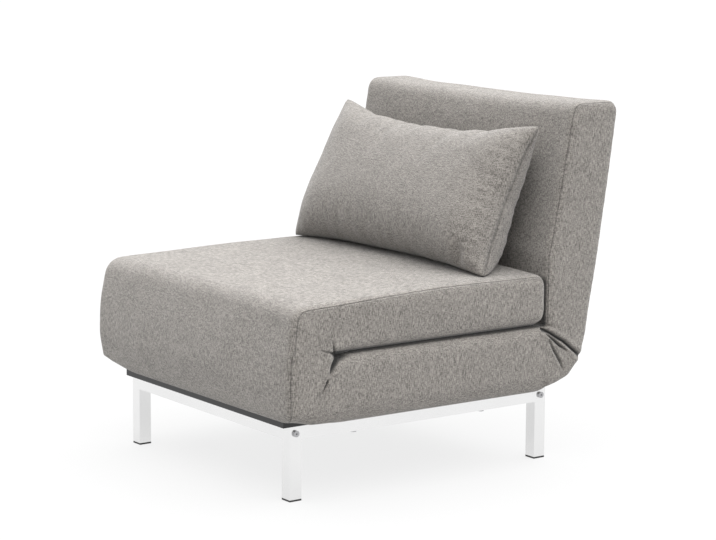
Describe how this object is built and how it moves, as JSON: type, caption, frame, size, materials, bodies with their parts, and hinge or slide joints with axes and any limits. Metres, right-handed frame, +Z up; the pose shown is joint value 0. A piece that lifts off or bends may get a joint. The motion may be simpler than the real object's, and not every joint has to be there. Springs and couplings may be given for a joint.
{
  "type": "convertible chair bed",
  "caption": "Upholstered chair bed on a square-tube steel base: folded seat section, reclining back and a loose pillow.",
  "frame": {"origin": "on the floor, midway between the sides and midway between the seat's front face and the back's rear edge", "axes": "+Z up, -Y the front of the chair, +X to the right seen from the front"},
  "size_m": [0.776, 0.877, 0.8116],
  "materials": {
    "cover_fabric": "matte",
    "pillow_fabric": "matte",
    "silver_steel": "satin",
    "black_steel": "matte",
    "zinc_steel": "satin",
    "bolt_steel": "satin",
    "black_plastic": "matte",
    "foam": "matte",
    "fibre_fill": "matte",
    "webbing": "matte",
    "lining": "matte",
    "board": "matte"
  },
  "bodies": {
    "base": {"side_frame_left": "silver_steel", "side_frame_right": "silver_steel", "front_cross_rail": "silver_steel", "rear_cross_rail": "silver_steel", "rail_end_plugs": "zinc_steel", "rail_bolts": "bolt_steel", "foot_caps": "black_plastic", "section_bolts": "bolt_steel", "section_nuts": "zinc_steel", "lower_frame": "black_steel", "lower_webbing": "webbing", "lower_lining": "lining", "lower_front_board": "board", "lower_foam": "foam", "lower_cover": "cover_fabric", "front_fold_leaves_lower": "zinc_steel", "front_panel": "cover_fabric", "ratchet_plate_left": "zinc_steel", "ratchet_plate_right": "zinc_steel", "recline_pins": "bolt_steel", "rear_gusset": "cover_fabric"},
    "upper": {"upper_frame": "black_steel", "upper_webbing": "webbing", "upper_front_board": "board", "upper_bed_foam": "foam", "upper_seat_foam": "foam", "upper_edge_foam": "foam", "upper_cover": "cover_fabric", "front_fold_leaves_upper": "zinc_steel", "front_fold_pins": "bolt_steel"},
    "back": {"back_frame": "black_steel", "back_webbing": "webbing", "back_front_foam": "foam", "back_rear_foam": "foam", "back_edge_foam": "foam", "back_cover": "cover_fabric", "recline_arm_left": "zinc_steel", "recline_arm_right": "zinc_steel", "ratchet_pawls": "bolt_steel"},
    "pillow": {"pillow_cover": "pillow_fabric", "pillow_fill": "fibre_fill"}
  },
  "joints": [
    {"name": "seat_unfold", "type": "hinge", "parent": "base", "child": "upper", "pos_m": [0, -0.432, 0.322], "axis": [1, 0, 0], "range_deg": [0, 180], "deforming": ["front_panel"]},
    {"name": "back_recline", "type": "hinge", "parent": "base", "child": "back", "pos_m": [0, 0.21981, 0.3154], "axis": [-1, 0, 0], "range_deg": [0, 78], "deforming": ["rear_gusset"]},
    {"name": "pillow_carry", "type": "hinge", "parent": "upper", "child": "pillow", "pos_m": [0, 0.221, 0.3678], "axis": [1, 0, 0], "range_deg": [-244.95, 0]}
  ],
  "couplings": [
    {"joint": "pillow_carry", "follows": "seat_unfold", "ratio": -1.3606}
  ]
}
